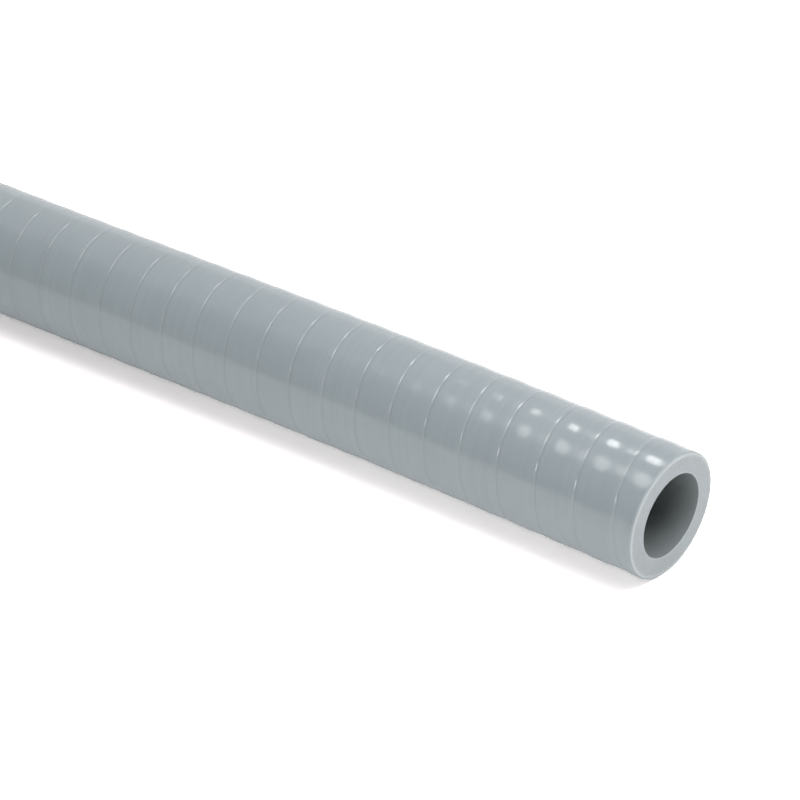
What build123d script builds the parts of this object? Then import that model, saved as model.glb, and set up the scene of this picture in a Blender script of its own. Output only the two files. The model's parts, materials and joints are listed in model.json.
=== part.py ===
"""A 1 m length of 16 mm PVC spiral conduit, lying on a level floor.

The conduit is one extruded and wound wall: a smooth round bore for the cables and a plain round outside
that a gland, clip or coupler closes on. Both ends are cut square, with the sharp edges of the cut eased.

Frame: millimetres, +Z up, +X along the conduit. The origin is under the middle of the length,
on the floor that the conduit lies on.
"""

import os

from build123d import *

# Driving dimensions, in millimetres
outer_diameter = 16.0
wall_thickness = 2.65
stock_length = 1000.0
outer_edge_ease = 0.2
bore_edge_ease = 0.1

# Places worked out from them
outer_radius = outer_diameter / 2
bore_radius = outer_radius - wall_thickness
half_length = stock_length / 2


def wall_section():
    """One side of the wall, in the plane of the axis, with the cut's edges eased at both ends."""
    outline = Polyline(
        (-half_length, bore_radius + bore_edge_ease),
        (-half_length + bore_edge_ease, bore_radius),
        (half_length - bore_edge_ease, bore_radius),
        (half_length, bore_radius + bore_edge_ease),
        (half_length, outer_radius - outer_edge_ease),
        (half_length - outer_edge_ease, outer_radius),
        (-half_length + outer_edge_ease, outer_radius),
        (-half_length, outer_radius - outer_edge_ease),
        close=True,
    )
    return Plane.XZ * make_face(outline)


def conduit_tube():
    """The wall turned round the conduit's axis, then set down on the floor."""
    turned = revolve(wall_section(), axis=Axis.X)
    return Pos(0, 0, outer_radius) * turned


os.makedirs("parts", exist_ok=True)
export_step(conduit_tube(), "parts/conduit.step")
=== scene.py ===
import json
import math

import bmesh
import bpy
import numpy as np
from mathutils import Matrix, Vector


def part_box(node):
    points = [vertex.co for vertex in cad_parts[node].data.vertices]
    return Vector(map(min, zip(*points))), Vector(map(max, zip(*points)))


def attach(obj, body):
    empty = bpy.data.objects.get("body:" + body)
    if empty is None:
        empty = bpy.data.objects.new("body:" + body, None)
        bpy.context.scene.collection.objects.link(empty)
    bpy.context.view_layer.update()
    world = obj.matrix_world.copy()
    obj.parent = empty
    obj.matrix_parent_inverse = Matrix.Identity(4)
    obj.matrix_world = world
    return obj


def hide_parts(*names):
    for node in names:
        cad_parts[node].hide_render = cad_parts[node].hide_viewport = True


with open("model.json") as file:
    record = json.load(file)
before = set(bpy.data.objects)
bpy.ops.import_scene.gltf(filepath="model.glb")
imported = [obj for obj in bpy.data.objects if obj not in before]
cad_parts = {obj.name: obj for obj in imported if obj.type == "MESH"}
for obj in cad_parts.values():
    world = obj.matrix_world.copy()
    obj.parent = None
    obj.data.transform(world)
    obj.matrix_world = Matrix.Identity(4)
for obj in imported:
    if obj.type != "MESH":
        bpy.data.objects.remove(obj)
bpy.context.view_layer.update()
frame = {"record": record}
print("frame loaded")

# The conduit's main sizes come from the frame, in metres
nodeLow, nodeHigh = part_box("conduit")
mountDims = {mount["name"]: mount["dims"] for mount in frame["record"]["mounts"]}
outerRadius = (nodeHigh[2] - nodeLow[2]) / 2
boreRadius = mountDims["cable_bore"]["r_mm"] / 1000
halfLength = nodeHigh[0]
axisHeight = nodeLow[2] + outerRadius
fullTurn = 2 * math.pi

# The wound strip that the wall is made of. Lengths are in metres, shares are of the strip's width, and a pair
# is the height at the near cut and the height far away from it. The near cut is the one at +X.
strip = {
    "pitch": 0.00513,                # one turn of the seam along the conduit
    "endPitch": 0.00580,             # the turns open up to this at the near cut,
    "endReach": 0.043,               # over this length before it,
    "endBend": 0.85,                 # a little faster at first: the way along that length to this power
    "lastSeam": 0.00415,             # from the near cut's middle to the last seam, at the angle lastSeamAngle
    "lastSeamAngle": 102.3,          # degrees round the axis from +Y towards +Z
    "swell": (0.0000215, 0.0000075),     # the strip's bulge, one wave across it
    "swellAt": 0.215,                # share where that wave is highest
    "fold": (0.0000125, 0.0000060),      # a second wave, half as long, that steepens the fall past the middle
    "foldAt": 0.325,                 # share where that wave is highest
    "waveReach": 0.026,              # how far from the near cut both waves stay larger
    "stepCorners": (0, 0.00003, 0.00018, 0.00025),   # the strip's edge laps over the last turn, in a step
    "stepClimb": 0.28,               # how steeply the step rises towards +X
    "nearStep": 1.6,                 # beside the near cut the step is this much larger,
    "nearStepReach": 0.018,          # and this is how far it stays so
    "crownRows": (0.10, 0.17, 0.27, 0.38, 0.50, 0.62, 0.75, 0.88),   # shares where the crown has its rows
    "columns": 40,                   # grid steps round the conduit
    "tablePlaces": 8001,             # places along the axis where the turns are counted
    "profilePlaces": 251,            # places across the step where its height is worked out
    "weld": 0.0000001,               # points nearer to each other than this are one,
    "sliver": 0.00000001,            # and edges shorter than this are taken out
}

# The two cut ends
cut = {
    "outerEase": 0.00027,            # radius of the rim's eased edge
    "boreEase": 0.00006,             # and of the bore's
    "easeSteps": 3,
    "support": 0.00005,              # a ring this far from each eased edge keeps the flat faces flat
    "faceRings": 3,                  # rings across the cut face, between those two
    "boreRings": 40,                 # rings along the bore,
    "boreInset": 0.001,              # which start and end this far inside the cuts
    "lean": (0.0265, 0.051),         # the near cut's rise towards +X per metre of Y and of Z: not quite square
}
leanDepth = outerRadius * math.hypot(*cut["lean"])
endMiddle = halfLength - leanDepth   # axis place of the near cut's middle: its rim just reaches the full length

# A cut length keeps a little of the coil's curve
bow = {
    "amplitude": 0.00042,
    "wave": 0.1465,                  # length of one wave along the conduit
    "peakFromEnd": 0.04017,          # from the near end to the first peak, towards +Y
}


def countTurns():
    # Running count of turns along the axis: the integral of 1 / local pitch, and the axis places it belongs to.
    # It is shifted so that the last seam passes its angle where the settings say.
    margin = 4 * strip["pitch"]
    place = np.linspace(-halfLength - margin, halfLength + margin, strip["tablePlaces"])
    opening = np.clip(1 - (endMiddle - place) / strip["endReach"], 0, 1) ** strip["endBend"]
    localPitch = strip["pitch"] + (strip["endPitch"] - strip["pitch"]) * opening
    meanPitch = 0.5 * (localPitch[1:] + localPitch[:-1])
    turns = np.concatenate([[0], np.cumsum((place[1] - place[0]) / meanPitch)])
    seamTurns = np.interp(endMiddle - strip["lastSeam"], place, turns)
    shift = math.ceil(seamTurns) + strip["lastSeamAngle"] / 360 - seamTurns
    return place, turns + shift


def climbStep():
    # The step along the seam: its slope runs evenly between its corners, and its height is the slope's integral
    corners, climb = np.array(strip["stepCorners"]), strip["stepClimb"]
    place = np.linspace(0, corners[-1], strip["profilePlaces"])
    slope = np.interp(place, corners, [0, climb, climb, 0])
    height = np.concatenate([[0], np.cumsum(np.diff(place) * 0.5 * (slope[1:] + slope[:-1]))])
    return place, height


turnPlaces, turnCounts = countTurns()
stepPlaces, stepHeights = climbStep()


def turnsAt(place):
    return np.interp(place, turnPlaces, turnCounts)


def nearness(place, reach):
    # 1 at the near cut and falling away from it: e to the power of -(distance from the cut / reach) squared
    return np.exp(-((endMiddle - place) / reach) ** 2)


def waveHeight(name, place):
    # Height of the strip's swell or of its fold at this axis place
    near, far = strip[name]
    return far + (near - far) * nearness(place, strip["waveReach"])


def stepScale(place):
    # Size of the step at this axis place
    return 1 + (strip["nearStep"] - 1) * nearness(place, strip["nearStepReach"])


def stripHeight(share, place):
    # Height of the outer surface about its mean, over the share of the strip's width counted from its -X edge:
    # swell * cos(2 pi (share - swellAt)) + fold * cos(4 pi (share - foldAt)) + step - full step * share
    share = share % 1
    waves = waveHeight("swell", place) * np.cos(fullTurn * (share - strip["swellAt"]))
    waves += waveHeight("fold", place) * np.cos(2 * fullTurn * (share - strip["foldAt"]))
    scale = stepScale(place)
    climbed = np.interp(share * strip["pitch"] / scale, stepPlaces, stepHeights)
    return waves + scale * (climbed - stepHeights[-1] * share)


def outsideRadius(angle, place):
    # Radius of the outside at this angle and axis place: the strip's highest line stays near the full radius
    mean = outerRadius - waveHeight("swell", place) - waveHeight("fold", place)
    return mean + stripHeight(turnsAt(place) - angle / fullTurn, place)


def bowAt(place):
    # Sideways shift of the axis: a gentle wave along the conduit
    phase = fullTurn * (place - (halfLength - bow["peakFromEnd"])) / bow["wave"]
    return bow["amplitude"] * np.cos(phase)


def nearCut(angle, radius):
    # Axis place of the near cut plane at this angle and radius
    return endMiddle + radius * (cut["lean"][0] * np.cos(angle) + cut["lean"][1] * np.sin(angle))


def outsideGrid(angle):
    # The outside's rows follow the strip. A row is a helix: its axis place is where the running count of turns
    # is turn + share + angle / 360 degrees, held inside the cut ends.
    firstTurn = math.floor(turnsAt(-halfLength)) - 2
    lastTurn = math.ceil(turnsAt(halfLength)) + 1
    turnNumber = np.arange(firstTurn, lastTurn)
    angleShare = angle[:, None] / fullTurn
    # The count at the seam in each column, and the shares of the strip's width that the rows past it stand at
    seamTurn = turnNumber[None, :] + angleShare
    scale = stepScale(np.interp(seamTurn, turnCounts, turnPlaces))[:, :, None]
    stepShares = scale * np.array(strip["stepCorners"]) / strip["pitch"]
    crownShares = np.tile(strip["crownRows"], seamTurn.shape + (1,))
    shares = np.concatenate([stepShares, crownShares], axis=2)
    wanted = (seamTurn[:, :, None] + shares).reshape(len(angle), -1)
    inset = cut["outerEase"] + cut["support"]
    nearEdge = nearCut(angle, outerRadius)[:, None] - inset
    gridX = np.clip(np.interp(wanted, turnCounts, turnPlaces), inset - halfLength, nearEdge)
    gridR = outsideRadius(angle[:, None], gridX)
    # On the strip's own map U counts its turns, and V runs from 0 to 1 across it
    rowTurn = np.repeat(turnNumber, shares.shape[2])[None, :]
    return gridX, gridR, rowTurn + angleShare, turnsAt(gridX) - angleShare - rowTurn


def endProfile(rimRadius):
    # From the outside's last ring over the eased rim, across the flat face and over the bore's eased edge:
    # distance back from the cut plane, and radius, which starts from the rim's own radius in each column
    ease, boreEase, support = cut["outerEase"], cut["boreEase"], cut["support"]
    bend = np.linspace(0, math.pi / 2, cut["easeSteps"] + 1)
    share = np.linspace(0, 1, cut["faceRings"] + 2)
    rim = rimRadius[:, None]
    rimR = rim - ease * (1 - np.cos(bend))
    faceOuter, faceInner = rim - ease - support, boreRadius + boreEase + support
    faceR = faceOuter + (faceInner - faceOuter) * share
    boreR = np.broadcast_to(boreRadius + boreEase * (1 - np.sin(bend)), rimR.shape)
    radius = np.concatenate([rimR, faceR, boreR], axis=1)
    back = np.concatenate([ease * (1 - np.sin(bend)), np.zeros(share.size), boreEase * (1 - np.cos(bend))])
    return np.broadcast_to(back, radius.shape), radius


def acrossCut(radius):
    # 0 at the bore and 1 at the rim
    return (radius - boreRadius) / (outerRadius - boreRadius)


def wallGrid(angle):
    # The wall as a closed sheet: columns run round the axis, and rows run along the outside, over the near cut,
    # back through the bore and over the far cut. Each point has an axis place, a radius and a place on the map.
    outX, outR, outU, outV = outsideGrid(angle)
    nearBack, nearR = endProfile(outR[:, -1])
    farBack, farR = endProfile(outR[:, 0])
    nearX = nearCut(angle[:, None], nearR) - nearBack
    boreNear = nearCut(angle, boreRadius)[:, None] - cut["boreInset"]
    boreFar = cut["boreInset"] - halfLength
    boreX = boreNear + (boreFar - boreNear) * np.linspace(0, 1, cut["boreRings"])
    boreR = np.full(boreX.shape, boreRadius)
    gridX = np.concatenate([outX, nearX, boreX, (farBack - halfLength)[:, ::-1]], axis=1)
    gridR = np.concatenate([outR, nearR, boreR, farR[:, ::-1]], axis=1)
    nearStart = outX.shape[1]
    boreStart = nearStart + nearX.shape[1]
    farStart = boreStart + boreX.shape[1]
    # In the bore the map has the angle and the axis place, and on a cut its V runs from the bore to the rim
    gridU = np.broadcast_to(angle[:, None] / fullTurn, gridX.shape).copy()
    gridV = gridX / strip["pitch"]
    gridU[:, :nearStart], gridV[:, :nearStart] = outU, outV
    gridV[:, nearStart:boreStart] = acrossCut(nearR)
    gridV[:, farStart:] = acrossCut(farR[:, ::-1])
    # A row of faces runs from its own row of points to the next: finish 0 outside, 1 on a cut, 2 in the bore
    finish = np.ones(gridX.shape[1], dtype=int)
    finish[:nearStart] = 0
    finish[-1] = 0
    finish[boreStart - 1:farStart] = 2
    # At the end of a turn the next row is the same edge of the strip as this one's far side
    newTurn = np.zeros(gridX.shape[1])
    newTurn[:nearStart - 1] = np.diff(np.round(outU[0]))
    return gridX, gridR, gridU, gridV, finish, newTurn


def outsideNormals(mesh):
    # Exact normals of the outside, from its own formula: n = (-dr/dx - bow' cos a, e_r - (dr/da / r) e_a).
    # The rest of the wall keeps the mesh's own normals, which a zero stands for.
    points = np.empty(len(mesh.vertices) * 3)
    mesh.vertices.foreach_get("co", points)
    x, y, z = points.reshape(-1, 3).T
    y, z = y - bowAt(x), z - axisHeight
    angle = np.arctan2(z, y) % fullTurn
    along, turn = 0.000002, 0.00002      # steps that the slopes are taken over: metres and radians
    alongSlope = (outsideRadius(angle, x + along) - outsideRadius(angle, x - along)) / (2 * along)
    bowSlope = (bowAt(x + along) - bowAt(x - along)) / (2 * along)
    roundSlope = (outsideRadius(angle + turn, x) - outsideRadius(angle - turn, x)) / (2 * turn * outerRadius)
    cos, sin = np.cos(angle), np.sin(angle)
    normals = np.stack([-alongSlope - bowSlope * cos, cos + roundSlope * sin, sin - roundSlope * cos], axis=1)
    normals /= np.linalg.norm(normals, axis=1)[:, None]
    inset = cut["outerEase"] + cut["support"] / 2
    onOutside = (x > inset - halfLength) & (x < nearCut(angle, outerRadius) - inset)
    onOutside &= np.hypot(y, z) > (outerRadius + boreRadius) / 2
    mesh.normals_split_custom_set_from_vertices(np.where(onOutside[:, None], normals, 0).tolist())


def buildWall():
    columns = strip["columns"]
    angle = fullTurn * np.arange(columns + 1) / columns
    gridX, gridR, gridU, gridV, finish, newTurn = wallGrid(angle)
    rows = gridX.shape[1]
    gridY = gridR * np.cos(angle)[:, None] + bowAt(gridX)
    gridZ = gridR * np.sin(angle)[:, None] + axisHeight
    points = np.stack([gridX, gridY, gridZ], axis=2).reshape(-1, 3)

    # Each face takes four corners of the grid: a column, a row, and 1 where it lies past its row. The last row
    # joins the first one, and the first and the last column are the same line, which is merged below.
    column, row = np.meshgrid(np.arange(columns), np.arange(rows), indexing="ij")
    nextColumn, nextRow = column + 1, (row + 1) % rows
    corners = [(column, row, 0), (nextColumn, row, 0), (nextColumn, nextRow, 1), (column, nextRow, 1)]
    quads = np.stack([c * rows + r for c, r, past in corners], axis=2).reshape(-1, 4)
    cornerU = np.stack([gridU[c, r] - past * newTurn[row] for c, r, past in corners], axis=2)
    cornerV = np.stack([gridV[c, r] + past * newTurn[row] for c, r, past in corners], axis=2)

    mesh = bpy.data.meshes.new("woundWall")
    mesh.from_pydata(points, [], quads)
    stripMap = mesh.uv_layers.new(name="strip")
    stripMap.data.foreach_set("uv", np.stack([cornerU, cornerV], axis=3).ravel())
    mesh.polygons.foreach_set("material_index", np.tile(finish, columns))
    mesh.polygons.foreach_set("use_smooth", np.ones(len(quads), dtype=bool))

    shape = bmesh.new()
    shape.from_mesh(mesh)
    bmesh.ops.remove_doubles(shape, verts=shape.verts, dist=strip["weld"])
    bmesh.ops.dissolve_degenerate(shape, edges=shape.edges, dist=strip["sliver"])
    if shape.calc_volume(signed=True) < 0:
        bmesh.ops.reverse_faces(shape, faces=shape.faces)
    shape.to_mesh(mesh)
    outsideNormals(mesh)
    openEdges = sum(1 for edge in shape.edges if not edge.is_manifold)
    print("wall: triangles", sum(len(face.verts) - 2 for face in shape.faces), "open edges", openEdges)
    shape.free()
    piece = bpy.data.objects.new("woundWall", mesh)
    bpy.context.collection.objects.link(piece)
    return piece


wall = buildWall()

# Finishes: base colours as the eye sees them in plain light, and each finish's own values for the marks and the
# grain. A mark's value is how often it repeats across the strip, and a grain's is how often in a metre.
outsideFinish = {
    "color": (0.311, 0.350, 0.368, 1),
    "dark": (0.275, 0.312, 0.329, 1),
    "roughness": (0.13, 0.19),
    "marks": {"Fine": 36.0, "Broad": 7.0},
    "grain": {"Scale": 2600.0, "Patch Scale": 160.0},
    "marksInTone": 0.65,             # the rest of the tone is the grain's patches
    "grainInHeight": 0.25,
    "bump": 0.000006,
    # Painted shade: the colour below darkens a faint line beside the step of the seam, standing in for the
    # shade that falls there
    "shade": (0.256, 0.290, 0.306, 1),   # a faint darker line follows the step of the seam,
    "shadeMost": 0.5,                # at most this strong,
    "shadeComes": (0.035, 0.06),     # between these shares of the strip's width
    "shadeGoes": (0.08, 0.13),       # and these
}
cutFinish = {
    "color": (0.450, 0.489, 0.503, 1),
    "dark": (0.340, 0.373, 0.389, 1),
    "roughness": (0.50, 0.70),
    "grain": {"Scale": 5200.0, "Patch Scale": 420.0},
    "grainInTone": 0.7,              # the rest of the tone is the grain's patches
    "bump": 0.00002,
    "edge": (0.610, 0.643, 0.653, 1),    # painted highlight of the eased edges: a paler line along the rim and the bore's edge
    "rimHighlightMost": 0.7,                  # how strong it is at the rim,
    "rimHighlightComes": (0.76, 0.90),        # and where it comes, from 0 at the bore to 1 at the rim
    "boreHighlightMost": 0.25,                # how strong it is at the bore,
    "boreHighlightGoes": (0.02, 0.10),        # and where it goes
    "easeComes": (0.925, 0.985),     # past the line the eased rim has the outside's colour
}
boreFinish = {
    "color": (0.244, 0.268, 0.276, 1),
    "dark": (0.208, 0.230, 0.236, 1),
    "roughness": (0.55, 0.70),
    "marks": {"Fine": 12.0, "Broad": 3.0},
    "grain": {"Scale": 3000.0, "Patch Scale": 260.0},
    "marksInTone": 0.5,              # the rest of the tone is the grain's patches
    "bump": 0.000008,
}
noiseMiddle = (0.3, 0.7)             # a noise seldom leaves this part of 0 to 1


def addSocket(group, name, kind, way, value=None):
    made = group.interface.new_socket(name=name, in_out=way, socket_type="NodeSocket" + kind)
    if value is not None:
        made.default_value = value


def addMath(tree, operation, *values):
    node = tree.nodes.new("ShaderNodeMath")
    node.operation = operation
    for place, value in enumerate(values):
        if isinstance(value, (int, float)):
            node.inputs[place].default_value = value
        else:
            tree.links.new(value, node.inputs[place])
    return node.outputs["Value"]


def addBlend(tree, first, second, firstShare):
    # first * firstShare + second * (1 - firstShare)
    rest = addMath(tree, "MULTIPLY", second, 1 - firstShare)
    return addMath(tree, "MULTIPLY_ADD", first, firstShare, rest)


def splitAxes(tree, vector):
    node = tree.nodes.new("ShaderNodeSeparateXYZ")
    tree.links.new(vector, node.inputs["Vector"])
    return node.outputs


def windingMarks():
    # Fine marks drawn out along the strip. Strip: U is the turn of the strip, V the place across it.
    group = bpy.data.node_groups.new("windingMarks", "ShaderNodeTree")
    addSocket(group, "Strip", "Vector", "INPUT")
    addSocket(group, "Fine", "Float", "INPUT", 36.0)
    addSocket(group, "Broad", "Float", "INPUT", 7.0)
    addSocket(group, "Height", "Float", "OUTPUT")
    addSocket(group, "Tone", "Float", "OUTPUT")
    given, out = group.nodes.new("NodeGroupInput"), group.nodes.new("NodeGroupOutput")
    place = splitAxes(group, given.outputs["Strip"])

    def drawnOut(along, across, detail):
        join = group.nodes.new("ShaderNodeCombineXYZ")
        noise = group.nodes.new("ShaderNodeTexNoise")
        group.links.new(addMath(group, "MULTIPLY", place["X"], along), join.inputs["X"])
        group.links.new(addMath(group, "MULTIPLY", place["Y"], across), join.inputs["Y"])
        group.links.new(join.outputs["Vector"], noise.inputs["Vector"])
        noise.inputs["Scale"].default_value = 1.0
        noise.inputs["Detail"].default_value = detail
        return noise.outputs["Fac"]

    fine = drawnOut(along=4.3, across=given.outputs["Fine"], detail=2.0)
    broad = drawnOut(along=1.7, across=given.outputs["Broad"], detail=3.0)
    group.links.new(addBlend(group, fine, broad, firstShare=0.7), out.inputs["Height"])
    group.links.new(addBlend(group, broad, fine, firstShare=0.6), out.inputs["Tone"])
    return group


def fineGrain():
    # Even grain at two sizes. Place is in metres.
    group = bpy.data.node_groups.new("fineGrain", "ShaderNodeTree")
    addSocket(group, "Place", "Vector", "INPUT")
    addSocket(group, "Scale", "Float", "INPUT", 4000.0)
    addSocket(group, "Patch Scale", "Float", "INPUT", 300.0)
    addSocket(group, "Grain", "Float", "OUTPUT")
    addSocket(group, "Patches", "Float", "OUTPUT")
    given, out = group.nodes.new("NodeGroupInput"), group.nodes.new("NodeGroupOutput")
    for scale, detail, result in (("Scale", 3.0, "Grain"), ("Patch Scale", 2.0, "Patches")):
        noise = group.nodes.new("ShaderNodeTexNoise")
        noise.inputs["Detail"].default_value = detail
        group.links.new(given.outputs["Place"], noise.inputs["Vector"])
        group.links.new(given.outputs[scale], noise.inputs["Scale"])
        group.links.new(noise.outputs["Fac"], out.inputs[result])
    return group


marksGroup, grainGroup = windingMarks(), fineGrain()


def newMaterial(name):
    material = bpy.data.materials.new(name)
    material.use_nodes = True
    tree = material.node_tree
    tree.nodes.clear()
    output = tree.nodes.new("ShaderNodeOutputMaterial")
    shader = tree.nodes.new("ShaderNodeBsdfPrincipled")
    tree.links.new(shader.outputs["BSDF"], output.inputs["Surface"])
    return material, tree, shader


def placeGroup(tree, group, vector, values):
    node = tree.nodes.new("ShaderNodeGroup")
    node.node_tree = group
    tree.links.new(vector, node.inputs[0])
    for name, value in values.items():
        node.inputs[name].default_value = value
    return node.outputs


def stripPlace(tree):
    node = tree.nodes.new("ShaderNodeUVMap")
    node.uv_map = "strip"
    return node.outputs["UV"]


def objectPlace(tree):
    return tree.nodes.new("ShaderNodeTexCoord").outputs["Object"]


def spread(tree, value, low, high, within=noiseMiddle):
    # Carries a value from the range within to the range from low to high, and holds it there
    node = tree.nodes.new("ShaderNodeMapRange")
    ends = {"From Min": within[0], "From Max": within[1], "To Min": low, "To Max": high}
    for name, end in ends.items():
        node.inputs[name].default_value = end
    tree.links.new(value, node.inputs["Value"])
    return node.outputs["Result"]


def mixColors(tree, share, first, second):
    node = tree.nodes.new("ShaderNodeMix")
    node.data_type = "RGBA"
    tree.links.new(share, node.inputs[0])
    for place, value in ((6, first), (7, second)):   # a Mix node's two colour sockets
        if isinstance(value, tuple):
            node.inputs[place].default_value = value
        else:
            tree.links.new(value, node.inputs[place])
    return node.outputs[2]


def finishShader(tree, shader, finish, color, gloss, height):
    # What the three finishes share: colour, roughness that follows the value gloss, and bump from the height
    tree.links.new(color, shader.inputs["Base Color"])
    tree.links.new(spread(tree, gloss, *finish["roughness"]), shader.inputs["Roughness"])
    bump = tree.nodes.new("ShaderNodeBump")
    bump.inputs["Strength"].default_value = 1.0
    bump.inputs["Distance"].default_value = finish["bump"]
    tree.links.new(height, bump.inputs["Height"])
    tree.links.new(bump.outputs["Normal"], shader.inputs["Normal"])


def outsideMaterial():
    material, tree, shader = newMaterial("wound_pvc")
    marks = placeGroup(tree, marksGroup, stripPlace(tree), outsideFinish["marks"])
    grain = placeGroup(tree, grainGroup, objectPlace(tree), outsideFinish["grain"])
    tone = addBlend(tree, marks["Tone"], grain["Patches"], outsideFinish["marksInTone"])
    color = mixColors(tree, spread(tree, tone, 0, 1), outsideFinish["dark"], outsideFinish["color"])
    # Painted shade: the darker line along the step of the seam
    share = addMath(tree, "FRACT", splitAxes(tree, stripPlace(tree))["Y"])
    comes = spread(tree, share, 0, outsideFinish["shadeMost"], outsideFinish["shadeComes"])
    goes = spread(tree, share, 1, 0, outsideFinish["shadeGoes"])
    color = mixColors(tree, addMath(tree, "MULTIPLY", comes, goes), color, outsideFinish["shade"])
    height = addMath(tree, "MULTIPLY_ADD", grain["Grain"], outsideFinish["grainInHeight"], marks["Height"])
    finishShader(tree, shader, outsideFinish, color, marks["Height"], height)
    return material


def cutMaterial():
    material, tree, shader = newMaterial("cut_pvc")
    grain = placeGroup(tree, grainGroup, objectPlace(tree), cutFinish["grain"])
    tone = addBlend(tree, grain["Grain"], grain["Patches"], cutFinish["grainInTone"])
    color = mixColors(tree, spread(tree, tone, 0, 1), cutFinish["dark"], cutFinish["color"])
    # Painted highlight: the paler lines along the rim and the bore's eased edge. Then the outside's colour on
    # the eased rim
    outwards = splitAxes(tree, stripPlace(tree))["Y"]
    rimHighlight = spread(tree, outwards, 0, cutFinish["rimHighlightMost"], cutFinish["rimHighlightComes"])
    boreHighlight = spread(tree, outwards, cutFinish["boreHighlightMost"], 0, cutFinish["boreHighlightGoes"])
    color = mixColors(tree, addMath(tree, "MAXIMUM", rimHighlight, boreHighlight), color, cutFinish["edge"])
    easedRim = spread(tree, outwards, 0, 1, cutFinish["easeComes"])
    color = mixColors(tree, easedRim, color, outsideFinish["color"])
    finishShader(tree, shader, cutFinish, color, grain["Patches"], grain["Grain"])
    return material


def boreMaterial():
    material, tree, shader = newMaterial("bore_pvc")
    marks = placeGroup(tree, marksGroup, stripPlace(tree), boreFinish["marks"])
    grain = placeGroup(tree, grainGroup, objectPlace(tree), boreFinish["grain"])
    tone = addBlend(tree, marks["Tone"], grain["Patches"], boreFinish["marksInTone"])
    color = mixColors(tree, spread(tree, tone, 0, 1), boreFinish["dark"], boreFinish["color"])
    finishShader(tree, shader, boreFinish, color, marks["Height"], grain["Grain"])
    return material


for makeMaterial in (outsideMaterial, cutMaterial, boreMaterial):
    wall.data.materials.append(makeMaterial())
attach(wall, "root")
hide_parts("conduit")
print("wall finished")

# Floor and room
studio = {
    "floorHalf": 6.0,
    "floorColor": (0.86, 0.855, 0.85, 1),
    "floorUnderlit": (0.21, 0.21, 0.205, 1),     # a light table: the floor gives off a little light of its own,
    "underlitShare": (0.30, 1.0),                # these shares of it along the conduit and at the near cut,
    "underlitWithin": (0.37, 0.46),              # changing between these places along X
    "floorSeen": (2.03, 1.90, 1.87, 1),          # as the camera sees it: overexposed, with its shadow kept
    "whiteWithin": (0.68, 1.15),                 # distances between which it fades to white for the camera
    "roomColor": (0.03, 0.035, 0.045, 1),
    "white": (1, 1, 1, 1),
}


def showCamera(tree, output, shown, others):
    # The camera sees the shader shown, and light and reflections come from the shader others
    choose = tree.nodes.new("ShaderNodeMixShader")
    path = tree.nodes.new("ShaderNodeLightPath")
    tree.links.new(path.outputs["Is Camera Ray"], choose.inputs["Fac"])
    tree.links.new(others, choose.inputs[1])
    tree.links.new(shown, choose.inputs[2])
    tree.links.new(choose.outputs["Shader"], output.inputs["Surface"])


def addPaper(tree, color, glow, strength):
    # Paper that also gives off light of the colour glow
    paper = tree.nodes.new("ShaderNodeBsdfDiffuse")
    light = tree.nodes.new("ShaderNodeEmission")
    both = tree.nodes.new("ShaderNodeAddShader")
    paper.inputs["Color"].default_value = color
    light.inputs["Color"].default_value = glow
    tree.links.new(strength, light.inputs["Strength"])
    tree.links.new(paper.outputs["BSDF"], both.inputs[0])
    tree.links.new(light.outputs["Emission"], both.inputs[1])
    return both.outputs["Shader"]


def addFloor():
    half = studio["floorHalf"]
    mesh = bpy.data.meshes.new("floor")
    corners = [(-half, -half, 0), (half, -half, 0), (half, half, 0), (-half, half, 0)]
    mesh.from_pydata(corners, [], [(0, 1, 2, 3)])
    floor = bpy.data.objects.new("floor", mesh)
    bpy.context.collection.objects.link(floor)
    material = bpy.data.materials.new("floor_paper")
    material.use_nodes = True
    tree = material.node_tree
    tree.nodes.clear()
    output = tree.nodes.new("ShaderNodeOutputMaterial")
    place = objectPlace(tree)
    underlit = spread(tree, splitAxes(tree, place)["X"], *studio["underlitShare"], studio["underlitWithin"])
    distance = tree.nodes.new("ShaderNodeVectorMath")
    distance.operation = "LENGTH"
    tree.links.new(place, distance.inputs[0])
    whiter = spread(tree, distance.outputs["Value"], 0, 1, studio["whiteWithin"])
    shown = addPaper(tree, studio["floorSeen"], studio["white"], whiter)
    others = addPaper(tree, studio["floorColor"], studio["floorUnderlit"], underlit)
    showCamera(tree, output, shown, others)
    mesh.materials.append(material)


def addRoom():
    world = bpy.data.worlds.new("room")
    bpy.context.scene.world = world
    world.use_nodes = True
    tree = world.node_tree
    tree.nodes.clear()
    output = tree.nodes.new("ShaderNodeOutputWorld")
    shown, others = tree.nodes.new("ShaderNodeBackground"), tree.nodes.new("ShaderNodeBackground")
    shown.inputs["Color"].default_value = studio["white"]
    others.inputs["Color"].default_value = studio["roomColor"]
    showCamera(tree, output, shown.outputs["Background"], others.outputs["Background"])


# Lamps: size across in metres, and the brightness of the lamp's own surface, where 1 is white paper. The boxes
# have a place and an aim. The round lamps aim at the near end, and stand off from it in a stated direction.
boxLamps = {
    "overheadBox": {"place": (0.3, 1.30, 0.624), "aim": (0.3, 0.93, -0.306),
                    "size": (5.0, 3.42), "brightness": 0.61},
    "backStrip": {"place": (0.3, 1.90, 0.36), "aim": (0.3, 0.0, 0.20),
                  "size": (5.0, 0.80), "brightness": 0.36},
    "sidePanel": {"place": (-0.90, 0.15, 0.72), "aim": (0.46, 0.0, 0.0),
                  "size": (0.60, 1.90), "brightness": 1.0},
    "sideBox": {"place": (-0.85, -0.03, 0.90), "aim": (0.46, 0.0, 0.0),
                "size": (0.34, 0.40), "brightness": 3.4},
    "sideBack": {"place": (-0.85, 0.80, 0.80), "aim": (0.46, 0.0, 0.0),
                 "size": (0.28, 0.24), "brightness": 6.0},
    "sideFront": {"place": (-0.85, -0.77, 0.28), "aim": (0.49, 0.0, 0.0),
                  "size": (0.20, 0.25), "brightness": 6.0},
}
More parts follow.
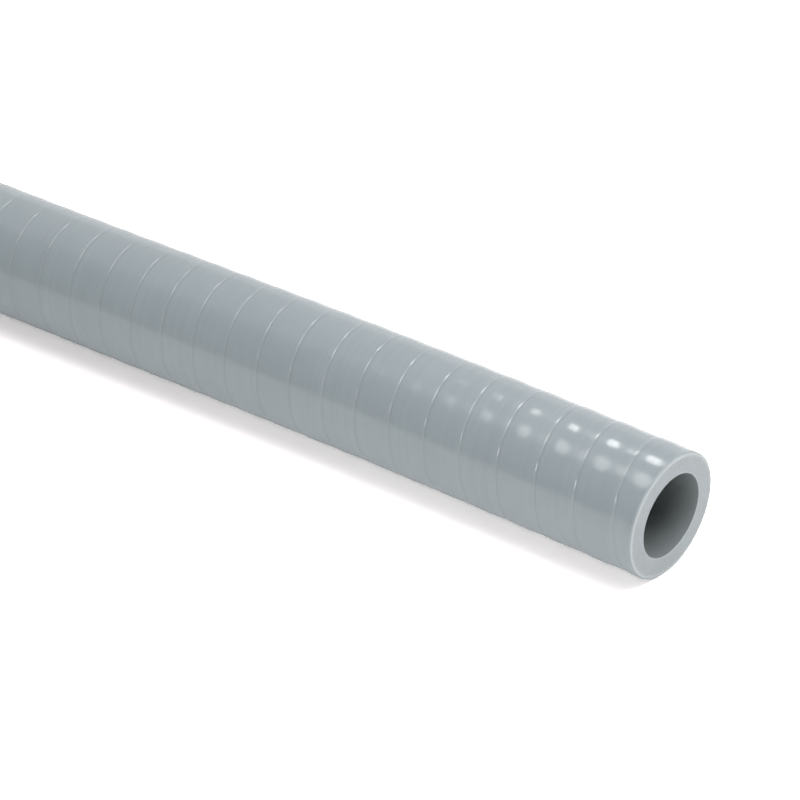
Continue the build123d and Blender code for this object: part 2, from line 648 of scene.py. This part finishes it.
roundLamps = {
    "keyBox": {"towards": (0.40, 0.30, 0.86), "distance": 0.33,
               "size": (0.20, 0.20), "brightness": 4.9},
    "boreKey": {"towards": (0.40, -0.05, 0.90), "distance": 0.28,
                "size": (0.12, 0.12), "brightness": 2.1},
    "frontKey": {"towards": (0.11, -0.75, 0.45), "distance": 0.38,
                 "size": (0.20, 0.20), "brightness": 6.0},
    "leftBackLamp": {"towards": (-0.410, 0.439, 0.807), "distance": 1.1,
                     "size": (0.12, 0.28), "brightness": 12.8},
    "leftFrontLamp": {"towards": (-0.385, -0.219, 0.905), "distance": 1.1,
                      "size": (0.28, 0.46), "brightness": 4.5},
}
nearEnd = Vector((endMiddle, 0, axisHeight))


def addLamp(name, outline, place, aim, facts):
    width, depth = facts["size"]
    lamp = bpy.data.lights.new(name, "AREA")
    lamp.shape = outline
    lamp.size, lamp.size_y = width, depth
    area = width * depth * (math.pi / 4 if outline == "ELLIPSE" else 1)
    lamp.energy = facts["brightness"] * math.pi * area
    # The lamp shines along its own -Z, and its own X lies as near to the conduit's as it can
    back = (place - aim).normalized()
    along = (Vector((1, 0, 0)) - back * back.x).normalized()
    turned = Matrix((along, back.cross(along), back)).transposed()
    holder = bpy.data.objects.new(name, lamp)
    holder.matrix_world = Matrix.Translation(place) @ turned.to_4x4()
    holder.visible_camera = False
    bpy.context.collection.objects.link(holder)


addFloor()
addRoom()
for name, facts in boxLamps.items():
    addLamp(name, "RECTANGLE", Vector(facts["place"]), Vector(facts["aim"]), facts)
for name, facts in roundLamps.items():
    standOff = Vector(facts["towards"]).normalized() * facts["distance"]
    addLamp(name, "ELLIPSE", nearEnd + standOff, nearEnd, facts)
print("studio lit")

# The photo's view: where the camera stands, seen from the middle of the near cut end
view = {
    "azimuth": 39.3156,
    "elevation": 32.0991,
    "roll": -1.642,
    "endRight": 0.031375,            # the near end's middle lies this far right of the line of sight,
    "endDown": 0.013359,             # this far below it
    "endAway": 0.409816,             # and this far away along it
    "lens": 159.72,
    "sensor": 36.0,
    "clip": (0.01, 50),
}


def addCamera():
    a, e, roll = (math.radians(view[name]) for name in ("azimuth", "elevation", "roll"))
    level = Vector((math.cos(a), math.sin(a), 0))
    back = Vector((math.sin(a) * math.cos(e), -math.cos(a) * math.cos(e), math.sin(e)))
    upright = back.cross(level)
    right = level * math.cos(roll) + upright * math.sin(roll)
    up = upright * math.cos(roll) - level * math.sin(roll)
    place = nearEnd - right * view["endRight"] + up * view["endDown"] + back * view["endAway"]
    camera = bpy.data.cameras.new("camera")
    camera.lens, camera.sensor_width = view["lens"], view["sensor"]
    camera.clip_start, camera.clip_end = view["clip"]
    holder = bpy.data.objects.new("camera", camera)
    holder.matrix_world = Matrix.Translation(place) @ Matrix((right, up, back)).transposed().to_4x4()
    bpy.context.collection.objects.link(holder)
    bpy.context.scene.camera = holder


addCamera()
bpy.context.scene.view_settings.view_transform = "Standard"
print("camera placed")
